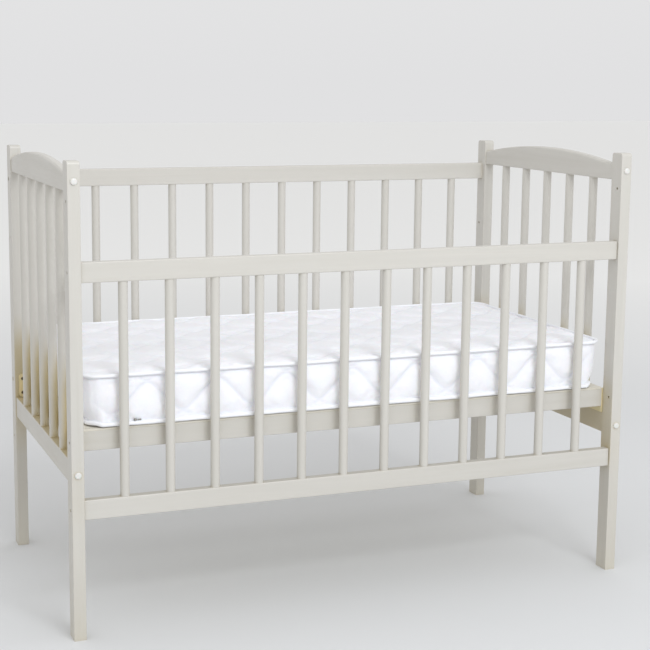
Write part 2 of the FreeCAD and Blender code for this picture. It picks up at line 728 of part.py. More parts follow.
def mattress(label):
    body = new_body(label)
    outline = new_sketch(body, label + "_outline", "XY_Plane")
    half = ("Sizes.mattress_length / 2", "Sizes.mattress_width / 2")
    rectangle(outline, ("-" + half[0], "-" + half[1]), half)
    slab = pad(body, label + "_slab", outline, "Sizes.mattress_height")
    doc.recompute()
    corners = straight_edges(slab.Shape, Z_AXIS, 50)
    block = soften(body, label + "_corners", slab, corners, "Sizes.mattress_corner")
    doc.recompute()
    rims = []
    for number, edge_shape in enumerate(block.Shape.Edges, start=1):
        box = edge_shape.BoundBox
        if box.ZLength < 0.01:
            rims.append("Edge%d" % number)
    soften(body, label + "_rims", block, rims, "Sizes.mattress_edge")
    return node(body)


place(mattress("mattress"), 0, 0, size("mattress_z"))


# --- Check and export --------------------------------------------------------------------

doc.recompute()
os.makedirs("parts", exist_ok=True)
for thing in doc.Objects:
    if "Invalid" in thing.State or "Error" in thing.State:
        raise RuntimeError("%s did not compute" % thing.Name)
for thing in NODES:
    shape = thing.Shape
    if shape.isNull() or not shape.isValid() or not shape.Solids:
        raise RuntimeError("%s has no valid solid" % thing.Label)
    shape.exportStep("parts/%s.step" % thing.Label)
    print("%-24s solids %2d volume %10.0f" % (thing.Label, len(shape.Solids), shape.Volume))
print("nodes", len(NODES))
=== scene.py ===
import json
import math

import bmesh
import bpy
from mathutils import Matrix, Vector, noise

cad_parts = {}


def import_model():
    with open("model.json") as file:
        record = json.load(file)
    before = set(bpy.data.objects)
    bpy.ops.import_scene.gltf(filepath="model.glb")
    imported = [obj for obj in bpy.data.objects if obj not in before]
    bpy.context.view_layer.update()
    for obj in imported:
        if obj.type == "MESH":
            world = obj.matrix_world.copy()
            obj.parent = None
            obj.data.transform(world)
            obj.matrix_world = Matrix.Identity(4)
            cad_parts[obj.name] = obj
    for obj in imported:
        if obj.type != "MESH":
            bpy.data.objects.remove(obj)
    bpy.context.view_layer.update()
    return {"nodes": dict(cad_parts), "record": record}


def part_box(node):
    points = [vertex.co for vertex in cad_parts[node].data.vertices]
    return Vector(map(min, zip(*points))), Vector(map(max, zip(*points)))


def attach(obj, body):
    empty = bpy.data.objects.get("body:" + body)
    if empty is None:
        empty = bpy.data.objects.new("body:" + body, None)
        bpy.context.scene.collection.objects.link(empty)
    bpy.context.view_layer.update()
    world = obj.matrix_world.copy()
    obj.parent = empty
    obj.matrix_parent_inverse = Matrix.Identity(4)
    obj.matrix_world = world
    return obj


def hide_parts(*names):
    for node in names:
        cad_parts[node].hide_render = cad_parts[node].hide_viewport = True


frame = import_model()
record = frame["record"]
NODES = frame["nodes"]
SLOT_OF = {part["node"]: part["material_slot"] for part in record["subparts"]}


# --- Node-tree helpers -------------------------------------------------------------------

def srgb(red, green, blue):
    """Linear colour of an 8-bit sRGB one."""
    out = []
    for level in (red, green, blue):
        c = level / 255
        out.append(c / 12.92 if c <= 0.04045 else ((c + 0.055) / 1.055) ** 2.4)
    return (*out, 1.0)


class Tree:
    """A material's nodes, built top down with few words."""

    def __init__(self, name):
        self.material = bpy.data.materials.new(name)
        self.material.use_nodes = True
        self.nodes = self.material.node_tree.nodes
        self.links = self.material.node_tree.links
        self.nodes.clear()
        self.output = self.nodes.new("ShaderNodeOutputMaterial")
        self.shader = self.nodes.new("ShaderNodeBsdfPrincipled")
        self.links.new(self.shader.outputs[0], self.output.inputs["Surface"])
        self.place = self.nodes.new("ShaderNodeTexCoord").outputs["Object"]

    def set(self, **sockets):
        for name, value in sockets.items():
            self.shader.inputs[name.replace("_", " ")].default_value = value

    def feed(self, socket, source):
        self.links.new(source, self.shader.inputs[socket])

    def plug(self, node, socket, source):
        if isinstance(source, bpy.types.NodeSocket):
            self.links.new(source, node.inputs[socket])
        else:
            node.inputs[socket].default_value = source

    def stretch(self, scale, shift=(0, 0, 0)):
        node = self.nodes.new("ShaderNodeMapping")
        self.links.new(self.place, node.inputs["Vector"])
        node.inputs["Scale"].default_value = scale
        node.inputs["Location"].default_value = shift
        return node.outputs[0]

    def noise(self, vector, scale, detail=3.0, rough=0.5, distort=0.0):
        node = self.nodes.new("ShaderNodeTexNoise")
        self.links.new(vector, node.inputs["Vector"])
        node.inputs["Scale"].default_value = scale
        node.inputs["Detail"].default_value = detail
        node.inputs["Roughness"].default_value = rough
        node.inputs["Distortion"].default_value = distort
        return node.outputs["Fac"]

    def wave(self, vector, scale, axis="X", distort=0.0):
        node = self.nodes.new("ShaderNodeTexWave")
        node.bands_direction = axis
        self.links.new(vector, node.inputs["Vector"])
        node.inputs["Scale"].default_value = scale
        node.inputs["Distortion"].default_value = distort
        node.inputs["Detail"].default_value = 1.0
        return node.outputs["Fac"]

    def math(self, kind, a, b=0.0):
        node = self.nodes.new("ShaderNodeMath")
        node.operation = kind
        self.plug(node, 0, a)
        self.plug(node, 1, b)
        return node.outputs[0]

    def span(self, value, low, high, start, stop):
        """Map low..high to start..stop, clamped."""
        node = self.nodes.new("ShaderNodeMapRange")
        self.plug(node, 0, value)
        for slot, number in enumerate((low, high, start, stop), start=1):
            node.inputs[slot].default_value = number
        return node.outputs[0]

    def ramp(self, value, *stops):
        node = self.nodes.new("ShaderNodeValToRGB")
        self.links.new(value, node.inputs[0])
        ramp = node.color_ramp
        while len(ramp.elements) < len(stops):
            ramp.elements.new(0.5)
        for element, (position, colour) in zip(ramp.elements, stops):
            element.position = position
            element.color = colour
        return node.outputs[0]

    def mix(self, factor, a, b, kind="MIX"):
        node = self.nodes.new("ShaderNodeMix")
        node.data_type = "RGBA"
        node.blend_type = kind
        self.plug(node, 0, factor)
        self.plug(node, 6, a)
        self.plug(node, 7, b)
        return node.outputs[2]

    def edge(self, radius):
        """About 0 on flats and 1 along rounded and sharp edges."""
        bevel = self.nodes.new("ShaderNodeBevel")
        bevel.samples = 4
        bevel.inputs["Radius"].default_value = radius
        geometry = self.nodes.new("ShaderNodeNewGeometry")
        dot = self.nodes.new("ShaderNodeVectorMath")
        dot.operation = "DOT_PRODUCT"
        self.links.new(bevel.outputs[0], dot.inputs[0])
        self.links.new(geometry.outputs["Normal"], dot.inputs[1])
        return self.span(dot.outputs["Value"], 1.0, 0.86, 0.0, 1.0)

    def crevice(self, distance):
        """1 in the open, falling to 0 deep in corners."""
        node = self.nodes.new("ShaderNodeAmbientOcclusion")
        node.samples = 4
        node.inputs["Distance"].default_value = distance
        return node.outputs["AO"]

    def bump(self, *layers):
        """Stack of (height, distance in metres, strength)."""
        normal = None
        for height, distance, strength in layers:
            node = self.nodes.new("ShaderNodeBump")
            node.inputs["Distance"].default_value = distance
            node.inputs["Strength"].default_value = strength
            self.links.new(height, node.inputs["Height"])
            if normal is not None:
                self.links.new(normal, node.inputs["Normal"])
            normal = node.outputs[0]
        self.feed("Normal", normal)


# --- Materials ---------------------------------------------------------------------------

# Noise scale of a piece of wood, by the axis of its longest way: drawn out along the grain.
GRAIN = {"x": (0.035, 1, 1), "y": (1, 0.035, 1), "z": (1, 1, 0.035)}
EDGE = 0.0022            # width of the paint's paler rubbed edges
POCKET_SHADE_REACH = 0.16            # reach of the painted shade, a yellowish tint standing for shadow, in hollows between pieces
JOINT = 0.01             # reach of the tint where two pieces meet
END_SHADE_REACH = 0.4         # reach of the painted shade, a yellow tint, in the hollow beside the mattress
END_SHADE_FADE = 0.09          # height over which that painted shade fades out at its top
LEG_SHADE_FADE = (0.22, 0.29)  # heights between which it fades down the legs
LEG_SHADE_SHARE = 0.2          # what is left of it below them
THREADS = 460.0          # scale of the quilting's weave


def painted_wood(name, along, shift, shade_top=None):
    """Cream satin paint brushed along the piece, with the wood's grain faint beneath it."""
    tree = Tree(name)
    run = tree.stretch(GRAIN[along], (shift, shift * 2, shift * 3))
    fibres = tree.noise(run, 210.0, 4.0, 0.62, 0.6)
    figure = tree.noise(run, 38.0, 3.0, 0.55, 1.4)
    strokes = tree.noise(run, 620.0, 2.0, 0.7)
    patches = tree.noise(tree.place, 5.0, 2.0)
    body = tree.ramp(
        tree.span(figure, 0.3, 0.7, 0.0, 1.0),
        (0.0, srgb(198, 195, 187)),
        (0.5, srgb(201, 198, 191)),
        (1.0, srgb(204, 201, 194)),
    )
    body = tree.mix(tree.span(patches, 0.35, 0.7, 0.0, 0.3), body, srgb(198, 194, 186))
    body = tree.mix(tree.span(fibres, 0.58, 0.76, 0.0, 0.14), body, srgb(186, 179, 164))
    rubbed = tree.span(tree.noise(tree.place, 60.0, 3.0), 0.4, 0.7, 0.15, 0.6)
    body = tree.mix(tree.math("MULTIPLY", tree.edge(EDGE), rubbed), body, srgb(223, 221, 214))
    # Painted shade: on the ends and front posts a yellow tint below the mattress top, standing for
    # the warm shadow there.
    if shade_top is not None:
        body = tree.mix(painted_end_shade(tree, shade_top), body, srgb(192, 172, 115))
    # Painted shade: a yellowish tint where the pieces hem each other in, standing for their shadow
    # and warm bounce light.
    painted_pocket_shade = tree.span(tree.crevice(POCKET_SHADE_REACH), 0.04, 0.34, 0.6, 0.0)
    body = tree.mix(painted_pocket_shade, body, srgb(206, 192, 152))
    joint = tree.span(tree.crevice(JOINT), 0.35, 0.95, 0.2, 0.0)
    body = tree.mix(joint, body, srgb(170, 158, 126))
    tree.feed("Base Color", body)
    gloss = tree.span(strokes, 0.3, 0.7, 0.36, 0.5)
    tree.feed("Roughness", tree.math("ADD", gloss, tree.span(patches, 0.3, 0.7, -0.04, 0.05)))
    tree.set(IOR=1.5, Coat_Weight=0.12, Coat_Roughness=0.22)
    tree.bump(
        (figure, 0.0006, 0.25),
        (fibres, 0.00035, 0.4),
        (strokes, 0.00012, 0.5),
        (tree.noise(tree.place, 900.0, 2.0), 0.00006, 0.35),
    )
    return tree.material


def painted_end_shade(tree, top):
    """Strength of the painted shade, a yellow tint standing for the warm shadow: most in the
    hollow beside the mattress, none above the top.
    """
    height = tree.nodes.new("ShaderNodeSeparateXYZ")
    tree.links.new(tree.nodes.new("ShaderNodeNewGeometry").outputs["Position"], height.inputs[0])
    below_top = tree.span(height.outputs["Z"], top - END_SHADE_FADE, top, 1.0, 0.0)
    above_leg = tree.span(height.outputs["Z"], *LEG_SHADE_FADE, LEG_SHADE_SHARE, 1.0)
    enclosed = tree.span(tree.crevice(END_SHADE_REACH), 0.3, 0.92, 0.86, 0.0)
    return tree.math("MULTIPLY", tree.math("MULTIPLY", below_top, above_leg), enclosed)


def board_material(name):
    """Sealed fibreboard with a faint grain and open pores."""
    tree = Tree(name)
    run = tree.stretch((0.06, 1, 1))
    grain = tree.noise(run, 120.0, 5.0, 0.6, 0.8)
    pores = tree.noise(run, 700.0, 2.0, 0.7)
    body = tree.ramp(
        tree.span(grain, 0.3, 0.7, 0.0, 1.0),
        (0.0, srgb(206, 200, 186)),
        (1.0, srgb(224, 220, 209)),
    )
    body = tree.mix(tree.span(pores, 0.58, 0.72, 0.0, 0.3), body, srgb(186, 176, 154))
    tree.feed("Base Color", body)
    tree.feed("Roughness", tree.span(grain, 0.3, 0.7, 0.5, 0.68))
    tree.bump((grain, 0.0005, 0.4), (pores, 0.0002, 0.4))
    return tree.material


def plastic(name, colour, shade, rough):
    """Moulded plastic with a fine matt skin and a little dust in its corners."""
    tree = Tree(name)
    cloud = tree.noise(tree.place, 40.0, 3.0)
    skin = tree.noise(tree.place, 1800.0, 2.0)
    body = tree.mix(tree.span(cloud, 0.35, 0.7, 0.0, 0.5), colour, shade)
    body = tree.mix(tree.math("MULTIPLY", tree.edge(0.0012), 0.3), body, srgb(238, 236, 230))
    dust = tree.span(tree.crevice(0.006), 0.3, 0.9, 0.4, 0.0)
    body = tree.mix(dust, body, srgb(150, 138, 112))
    tree.feed("Base Color", body)
    tree.feed("Roughness", tree.span(cloud, 0.3, 0.7, rough, rough + 0.12))
    tree.set(IOR=1.46, Subsurface_Weight=0.05, Subsurface_Scale=0.004)
    tree.bump((skin, 0.00008, 0.5), (cloud, 0.0003, 0.15))
    return tree.material


def zinc(name, dark, light):
    """Plated steel, clouded between two tones and finely scratched."""
    tree = Tree(name)
    grey = tree.noise(tree.place, 90.0, 4.0)
    scratch = tree.noise(tree.stretch((1, 1, 14)), 420.0, 2.0)
    tone = tree.span(grey, 0.3, 0.7, 0.0, 1.0)
    tree.feed("Base Color", tree.ramp(tone, (0.0, dark), (1.0, light)))
    tree.set(Metallic=1.0, Anisotropic=0.3)
    tree.feed("Roughness", tree.span(scratch, 0.3, 0.7, 0.26, 0.48))
    tree.bump((scratch, 0.0001, 0.5), (grey, 0.0003, 0.2))
    return tree.material


def quilt_cloth(name):
    """White microfibre: fine weave, soft nap, and seams darkened by the mesh's own layer as
    painted shade in their grooves.
    """
    tree = Tree(name)
    weft, warp, rise = (tree.wave(tree.place, THREADS, axis, 0.6) for axis in "XYZ")
    nap = tree.noise(tree.place, 260.0, 4.0, 0.65)
    crumple = tree.noise(tree.stretch((0.7, 1.3, 1)), 26.0, 4.0, 0.55, 0.7)
    layer = tree.nodes.new("ShaderNodeAttribute")
    layer.attribute_name = "seam"
    seam = layer.outputs["Fac"]
    weave = tree.math("ADD", tree.math("MULTIPLY", weft, warp), tree.math("MULTIPLY", rise, 0.5))
    pile = tree.span(nap, 0.35, 0.7, 0.0, 0.5)
    body = tree.mix(pile, srgb(246, 246, 250), srgb(240, 241, 247))
    # Painted shade: bluish grey in the hollows of the crumpled bump.
    body = tree.mix(tree.span(crumple, 0.35, 0.65, 0.22, 0.0), body, srgb(233, 235, 243))
    # Painted shade: bluish grey in the stitch grooves, weaker beside the piping.
    body = tree.mix(tree.math("MULTIPLY", seam, 0.4), body, srgb(214, 217, 230))
    tree.feed("Base Color", body)
    tree.feed("Roughness", tree.span(nap, 0.3, 0.7, 0.78, 0.92))
    tree.set(Sheen_Weight=0.28, Sheen_Roughness=0.45, IOR=1.42)
    tree.set(Subsurface_Weight=0.06, Subsurface_Scale=0.006)
    tree.bump(
        (crumple, 0.003, 0.22),
        (nap, 0.0005, 0.35),
        (weave, 0.00018, 0.45),
    )
    return tree.material


def binding_cloth(name):
    """The shinier woven tape of the piped edges."""
    tree = Tree(name)
    ribs = tree.wave(tree.stretch((1, 1, 0.4)), 300.0, "DIAGONAL", 0.4)
    cloud = tree.noise(tree.place, 70.0, 3.0)
    tone = tree.span(cloud, 0.35, 0.7, 0.0, 0.6)
    body = tree.mix(tone, srgb(248, 249, 252), srgb(241, 243, 249))
    body = tree.mix(tree.math("MULTIPLY", ribs, 0.12), body, srgb(222, 225, 234))
    tree.feed("Base Color", body)
    tree.feed("Roughness", tree.span(cloud, 0.3, 0.7, 0.55, 0.7))
    tree.set(Sheen_Weight=0.2, Sheen_Roughness=0.4)
    tree.bump((ribs, 0.0003, 0.5), (cloud, 0.0008, 0.25))
    return tree.material


def floor_material(name):
    """Pale matt floor, whiter with distance so that it runs into the surround."""
    tree = Tree(name)
    cloud = tree.noise(tree.place, 0.6, 3.0)
    grain = tree.noise(tree.place, 240.0, 3.0)
    away = tree.nodes.new("ShaderNodeVectorMath")
    away.operation = "LENGTH"
    tree.links.new(tree.place, away.inputs[0])
    tone = tree.span(cloud, 0.3, 0.7, 0.0, 1.0)
    body = tree.mix(tone, srgb(222, 223, 224), srgb(218, 219, 220))
    far = tree.span(away.outputs["Value"], 1.8, 5.0, 0.0, 1.0)
    body = tree.mix(far, body, srgb(246, 246, 245))
    tree.feed("Base Color", body)
    tree.feed("Roughness", tree.span(grain, 0.3, 0.7, 0.72, 0.84))
    tree.set(Specular_IOR_Level=0.3)
    tree.bump((grain, 0.0003, 0.15))
    return tree.material


END_X = 0.56            # pieces wholly beyond this belong to the two ends
END_SHADE_TOP = 0.56     # height where the painted shade on the ends stops
POST_SHADE_TOP = 0.45    # and that of the two front posts
PAINT = {
    along: painted_wood("cream_paint_" + along, along, 1.7 * i)
    for i, along in enumerate("xyz")
}
# Paints with painted shade: a yellow tint low on the ends and the front posts, for the warm shadow
# beside the mattress.
END_SHADED_PAINT = {
    along: painted_wood("cream_paint_end_shaded_" + along, along, 0.9, END_SHADE_TOP)
    for along in "yz"
}
FRONT_POST_SHADED_PAINT = painted_wood("cream_paint_front_post_shaded", "z", 2.3, POST_SHADE_TOP)
SLOTS = {
    "board": board_material("sealed_board"),
    "cream_plastic": plastic("cream_plastic", srgb(229, 214, 170), srgb(220, 204, 158), 0.42),
    "white_plastic": plastic("white_plastic", srgb(220, 220, 216), srgb(214, 213, 208), 0.28),
    "zinc_steel": zinc("zinc_steel", srgb(150, 150, 146), srgb(196, 196, 190)),
}
# Painted shade: the base plates' screws take a near-black brown zinc, standing for the dark
# recessed holes they sit in.
SCREW_HOLE_SHADE_ZINC = zinc("screw_hole_shade_zinc", srgb(70, 60, 42), srgb(112, 98, 70))
QUILT = quilt_cloth("white_quilting")
BINDING = binding_cloth("white_binding")


def paint_for(node):
    """Paint whose brushing follows the longest way of the piece; the ends and the front posts take
    the paint with painted shade.
    """
    if node.startswith("post_front"):
        return FRONT_POST_SHADED_PAINT
    low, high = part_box(node)
    reach = [high[i] - low[i] for i in range(3)]
    along = "xyz"[reach.index(max(reach))]
    if along != "x" and (low[0] > END_X or high[0] < -END_X):
        return END_SHADED_PAINT[along]
    return PAINT[along]


# The mattress's solid has no finish here, because the cover below replaces it.
for node, obj in NODES.items():
    slot = SLOT_OF[node]
    finish = paint_for(node) if slot == "painted_wood" else SLOTS.get(slot)
    # The screws are darkened as painted shade of their holes.
    if node == "base_screws":
        finish = SCREW_HOLE_SHADE_ZINC
    if finish is None:
        continue
    obj.data.materials.clear()
    obj.data.materials.append(finish)


# --- Mesh helpers ------------------------------------------------------------------------

def add_object(name, mesh, material, body):
    """Smooth-shaded piece that rides on a body and takes its finish from a slot."""
    obj = bpy.data.objects.new(name, mesh)
    bpy.context.scene.collection.objects.link(obj)
    mesh.materials.append(material)
    for polygon in mesh.polygons:
        polygon.use_smooth = True
    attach(obj, body)
    return obj


def rounded_loop(half_x, half_y, radius, step):
    """Points and outward directions round a rounded rectangle, anticlockwise, evenly spaced."""
    length = 4 * (half_x + half_y - 2 * radius) + 2 * math.pi * radius
    count = max(16, round(length / step))
    out = []
    for i in range(count):
        s = i * length / count
        out.append(loop_point(half_x, half_y, radius, s))
    return out, length


def loop_point(half_x, half_y, radius, s):
    """Point and outward direction at arc length s, starting mid-front and going towards +X."""
    flat_x = half_x - radius
    flat_y = half_y - radius
    arc = 0.5 * math.pi * radius
    legs = (
        (flat_x, (0, -half_y), (1, 0), None),
        (arc, None, None, (flat_x, -flat_y, -90)),
        (2 * flat_y, (half_x, -flat_y), (0, 1), None),
        (arc, None, None, (flat_x, flat_y, 0)),
        (2 * flat_x, (flat_x, half_y), (-1, 0), None),
        (arc, None, None, (-flat_x, flat_y, 90)),
        (2 * flat_y, (-half_x, flat_y), (0, -1), None),
        (arc, None, None, (-flat_x, -flat_y, 180)),
        (flat_x, (-flat_x, -half_y), (1, 0), None),
    )
    for length, start, way, turn in legs:
        if s <= length:
            if turn is None:
                point = Vector((start[0] + way[0] * s, start[1] + way[1] * s, 0))
                return point, Vector((way[1], -way[0], 0))
            angle = math.radians(turn[2]) + s / radius
            out = Vector((math.cos(angle), math.sin(angle), 0))
            return Vector((turn[0], turn[1], 0)) + out * radius, out
        s -= length
    return Vector((0, -half_y, 0)), Vector((0, -1, 0))


def loop_length(half_x, half_y, radius, x, y):
    """Arc length of the outline point nearest to (x, y)."""
    flat_x = half_x - radius
    flat_y = half_y - radius
    arc = 0.5 * math.pi * radius
    if x > flat_x and y < -flat_y:
        return flat_x + radius * (math.atan2(y + flat_y, x - flat_x) + 0.5 * math.pi)
    if x > flat_x and y > flat_y:
        return flat_x + arc + 2 * flat_y + radius * math.atan2(y - flat_y, x - flat_x)
    if x < -flat_x and y > flat_y:
        angle = math.atan2(y - flat_y, x + flat_x)
        return 3 * flat_x + 2 * arc + 2 * flat_y + radius * (angle - 0.5 * math.pi)
    if x < -flat_x and y < -flat_y:
        angle = math.atan2(y + flat_y, x + flat_x)
        angle += 2 * math.pi if angle < 0 else 0
        return 3 * flat_x + 3 * arc + 4 * flat_y + radius * (angle - math.pi)
    gaps = (half_x - x, half_y - y, half_x + x, half_y + y)
    side = gaps.index(min(gaps))
    if side == 0:
        return flat_x + arc + flat_y + y
    if side == 1:
        return 2 * flat_x + 2 * arc + 2 * flat_y - x
    if side == 2:
        return 3 * flat_x + 3 * arc + 3 * flat_y - y
    total = 4 * (flat_x + flat_y) + 4 * arc
    return x % total


def ease(t):
    """0 to 1 with a soft start and stop."""
    t = min(max(t, 0.0), 1.0)
    return t * t * (3 - 2 * t)


# --- Mattress ----------------------------------------------------------------------------
# The cover is inflated as cloth with its stitch lines and its two piped seams held, then its
# seams are sharpened by moving vertices, and the piping and the zip are added over them.

MAT_LOW, MAT_HIGH = (Vector(point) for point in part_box("mattress"))
MID = (MAT_LOW + MAT_HIGH) / 2
HALF = (MAT_HIGH - MAT_LOW) / 2
SHELL = 0.0065                 # room at the sides for the cover to swell into
HX = HALF.x - SHELL
HY = HALF.y - SHELL
CORNER = 0.034                 # radius of the upright corners
BOTTOM = MAT_LOW.z + 0.0005
TOP = MAT_HIGH.z - 0.004
SEAM_LOW = BOTTOM + 0.01       # the two piped seams
SEAM_HIGH = TOP - 0.005
LAP = 4 * (HX + HY - 2 * CORNER) + 2 * math.pi * CORNER

# Stitching: wavy rows that mirror each other, round the sides and along the top.
WAVE = 0.148                   # length of a wave
SWING = 0.0298                 # how far a row swings to either side of its middle
ROW = 0.0645                   # from one row's middle to the next
ZIGZAG = 0.74                  # near 0 the rows are sines, near 1 a sharp zigzag
TOP_ROW = 0.011                # middle of a row on top, off the mattress's middle line
SIDE_ROW = MAT_HIGH.z - 0.054  # height of the middle of a row on the sides
TOP_MARGIN = 0.006             # the rows on top end this near to the edge
FIRST_TROUGH = -0.537          # a trough on the gate side, measured from its middle
FRONT = 0.6                    # waves keep their length this far either way from there
WAVES = 23                     # in one lap; those at the back and ends share what is left
REST_WAVES = WAVES - 2 * FRONT / WAVE

# Cover: how the cloth is held, swollen and drawn in.
VOXEL = 0.006
FRAMES = 16
HELD = 0.0032                  # cloth this near to a seam doesn't move
MOST_SWELL = 0.0045
SWELL = 0.003                  # further rise of the quilting between its seams
THREAD = 0.0028                # half width of the groove at a seam
PUFF = 0.012                   # distance from a seam over which the quilting rises
PUCKER = 0.0012                # wrinkles beside the seams
FOLD = 0.0014                  # broad soft folds
GROOVE = 0.0006                # depth of the stitching
CORNER_LIFT = 0.0015           # even rise of the smooth cloth at the upright corners
TUCK_HEIGHT = 0.065            # ends and corners draw in below this height off the bottom
TUCK_REACH = 0.05              # an end draws in over this distance from it
CORNER_IN = 0.004              # how far a corner draws in at the bottom
END_IN = 0.011                 # how far an end does
CORNER_UP = 0.0024             # how far a corner rises there


def wave_turn(s):
    """Phase of the stitching at arc length s; it closes on itself after one lap."""
    if s > LAP - FRONT:
        s -= LAP
    turn = (min(s, FRONT) - FIRST_TROUGH) / WAVE
    if s > FRONT:
        turn += REST_WAVES * (s - FRONT) / (LAP - 2 * FRONT)
    return 2 * math.pi * turn


def bend(turn):
    """Rounded zigzag between -1 at turn 0 and 1, with its slope."""
    wide = math.asin(ZIGZAG)
    level = -math.asin(ZIGZAG * math.cos(turn)) / wide
    slope = ZIGZAG * math.sin(turn) / math.sqrt(1 - (ZIGZAG * math.cos(turn)) ** 2) / wide
    return level, slope


def stitch_gap(turn, across, middle):
    """Distance to the nearest wavy row; rows mirror each other and nearly touch."""
    level, slope = bend(turn)
    stretch = math.sqrt(1 + (SWING * slope * 2 * math.pi / WAVE) ** 2)
    base = round((across - middle) / ROW)
    nearest = 1.0
    for row in (base - 1, base, base + 1):
        hand = -1 if row % 2 else 1
        centre = middle + row * ROW
        nearest = min(nearest, abs(across - centre - hand * SWING * level) / stretch)
    return nearest


def seam_gap(point):
    """Distance from a point of the cover to the nearest stitch line or piped seam."""
    x, y, z = point.x - MID.x, point.y - MID.y, point.z
    inset = min(HX - abs(x), HY - abs(y))
    if inset > TOP_MARGIN and z > MID.z:
        return min(stitch_gap(wave_turn(x % LAP), y, TOP_ROW), inset)
    if z < SEAM_LOW:
        return 0.0
    s = loop_length(HX, HY, CORNER, x, y)
    rim = min(abs(z - SEAM_HIGH), abs(z - SEAM_LOW))
    return min(rim, stitch_gap(wave_turn(s), z, SIDE_ROW))


def corner(x, y, reach=CORNER):
    """1 at the tip of an upright corner, falling to 0 along both sides."""
    near_x = ease((abs(x - MID.x) - HX + reach) / reach)
    near_y = ease((abs(y - MID.y) - HY + reach) / reach)
    return near_x * near_y


def calm(x, y, most):
    """1 on the flats, less by up to most beside the upright corners, where the cloth is smooth."""
    return 1 - most * min(1.0, 1.6 * corner(x, y, 0.06))


def tuck(co, low):
    """Ends and corners draw in, and corners rise a little off the board, the more the lower."""
    amount = low * corner(co.x, co.y)
    end = low * low * ease((abs(co.x - MID.x) - HX + TUCK_REACH) / TUCK_REACH)
    co.x -= math.copysign(CORNER_IN * amount + END_IN * end, co.x - MID.x)
    co.y -= math.copysign(CORNER_IN * amount, co.y - MID.y)
    co.z += CORNER_UP * amount


def rounded_block(name, voxel):
    """Closed block with upright corners rounded, remeshed to even quads."""
    bm = bmesh.new()
    outline, _ = rounded_loop(HX, HY, CORNER, 0.02)
    rims = []
    for z in (BOTTOM, TOP):
        rims.append([bm.verts.new((p.x + MID.x, p.y + MID.y, z)) for p, _ in outline])
    count = len(outline)
    for i in range(count):
        j = (i + 1) % count
        bm.faces.new((rims[0][i], rims[0][j], rims[1][j], rims[1][i]))
    bm.faces.new(rims[1])
    bm.faces.new(list(reversed(rims[0])))
    mesh = bpy.data.meshes.new(name)
    bm.to_mesh(mesh)
    bm.free()
    obj = bpy.data.objects.new(name, mesh)
    bpy.context.scene.collection.objects.link(obj)
    remesh = obj.modifiers.new("even", "REMESH")
    remesh.mode = "VOXEL"
    remesh.voxel_size = voxel
    remesh.adaptivity = 0
    apply_modifiers(obj)
    return obj


def apply_modifiers(obj):
    """Replace the object's mesh by its evaluated one."""
    graph = bpy.context.evaluated_depsgraph_get()
    graph.update()
    done = bpy.data.meshes.new_from_object(obj.evaluated_get(graph))
    obj.modifiers.clear()
    obj.data = done


def inflate(obj, frames):
    """Blow the cover up a little between its held stitch lines."""
    group = obj.vertex_groups.new(name="held")
    for vertex in obj.data.vertices:
        if seam_gap(vertex.co) < HELD or vertex.co.z < BOTTOM + VOXEL:
            group.add([vertex.index], 1.0, "REPLACE")
    cloth = obj.modifiers.new("cover", "CLOTH")
    settings = cloth.settings
    settings.quality = 5
    settings.mass = 0.25
    settings.tension_stiffness = 12
    settings.compression_stiffness = 12
    settings.shear_stiffness = 4
    settings.bending_stiffness = 0.25
    settings.shrink_min = -0.035
    settings.use_pressure = True
    settings.uniform_pressure_force = 4
    settings.vertex_group_mass = "held"
    settings.effector_weights.gravity = 0
    cloth.collision_settings.use_collision = False
    cloth.collision_settings.use_self_collision = False
    scene = bpy.context.scene
    for number in range(1, frames + 1):
        scene.frame_set(number)
    start = [v.co.copy() for v in obj.data.vertices]
    apply_modifiers(obj)
    scene.frame_set(1)
    for vertex, home in zip(obj.data.vertices, start):
        move = vertex.co - home
        if move.length > MOST_SWELL:
            move.length = MOST_SWELL
        vertex.co = home + move * calm(home.x, home.y, 0.85)
    obj.vertex_groups.clear()


def refine(obj):
    """One subdivision, applied."""
    smooth = obj.modifiers.new("finer", "SUBSURF")
    smooth.levels = 1
    smooth.render_levels = 1
    apply_modifiers(obj)


def quilt(obj, swell):
    """Draw the seams in, add puckers beside them, and store how near each point is to one, as the
    strength of the painted shade in the grooves.
    """
    mesh = obj.data
    normals = [v.normal.copy() for v in mesh.vertices]
    layer = mesh.attributes.new("seam", "FLOAT", "POINT")
    for vertex, normal in zip(mesh.vertices, normals):
        point = vertex.co.copy()
        gap = seam_gap(point)
        near = math.exp(-((gap / THREAD) ** 2))
        puff = 1 - math.exp(-gap / PUFF)
        pucker = noise.noise(point * 110) * math.exp(-gap / PUFF) * PUCKER
        fold = noise.noise(Vector((point.x * 9, point.y * 26, point.z * 34))) * FOLD
        flat = calm(point.x, point.y, 0.8)
        rise = swell * (0.7 if normal.z > 0.7 else 1.0)
        lift = rise * (puff - 0.35) - GROOVE * near + (pucker + fold) * (1 - near)
        lift = lift * flat + CORNER_LIFT * (1 - flat)
        if point.z < SEAM_LOW:
            lift = 0.0
            near = 0.0
        vertex.co = point + normal * lift
        tuck(vertex.co, 1 - ease((point.z - BOTTOM) / TUCK_HEIGHT))
        # Strength of the painted shade in the grooves, weaker at the piped rims.
        rim = min(abs(point.z - SEAM_HIGH), abs(point.z - SEAM_LOW))
        layer.data[vertex.index].value = near * flat * (0.4 if rim < 0.007 else 1.0)
    hold_inside(mesh)


def hold_inside(mesh):
    """Keep the cover within the room its solid has, and off the board."""
    for vertex in mesh.vertices:
        co = vertex.co
        co.x = min(max(co.x, MAT_LOW.x - 0.001), MAT_HIGH.x + 0.001)
        co.y = min(max(co.y, MAT_LOW.y - 0.001), MAT_HIGH.y + 0.001)
        co.z = min(max(co.z, MAT_LOW.z), MAT_HIGH.z + 0.002)


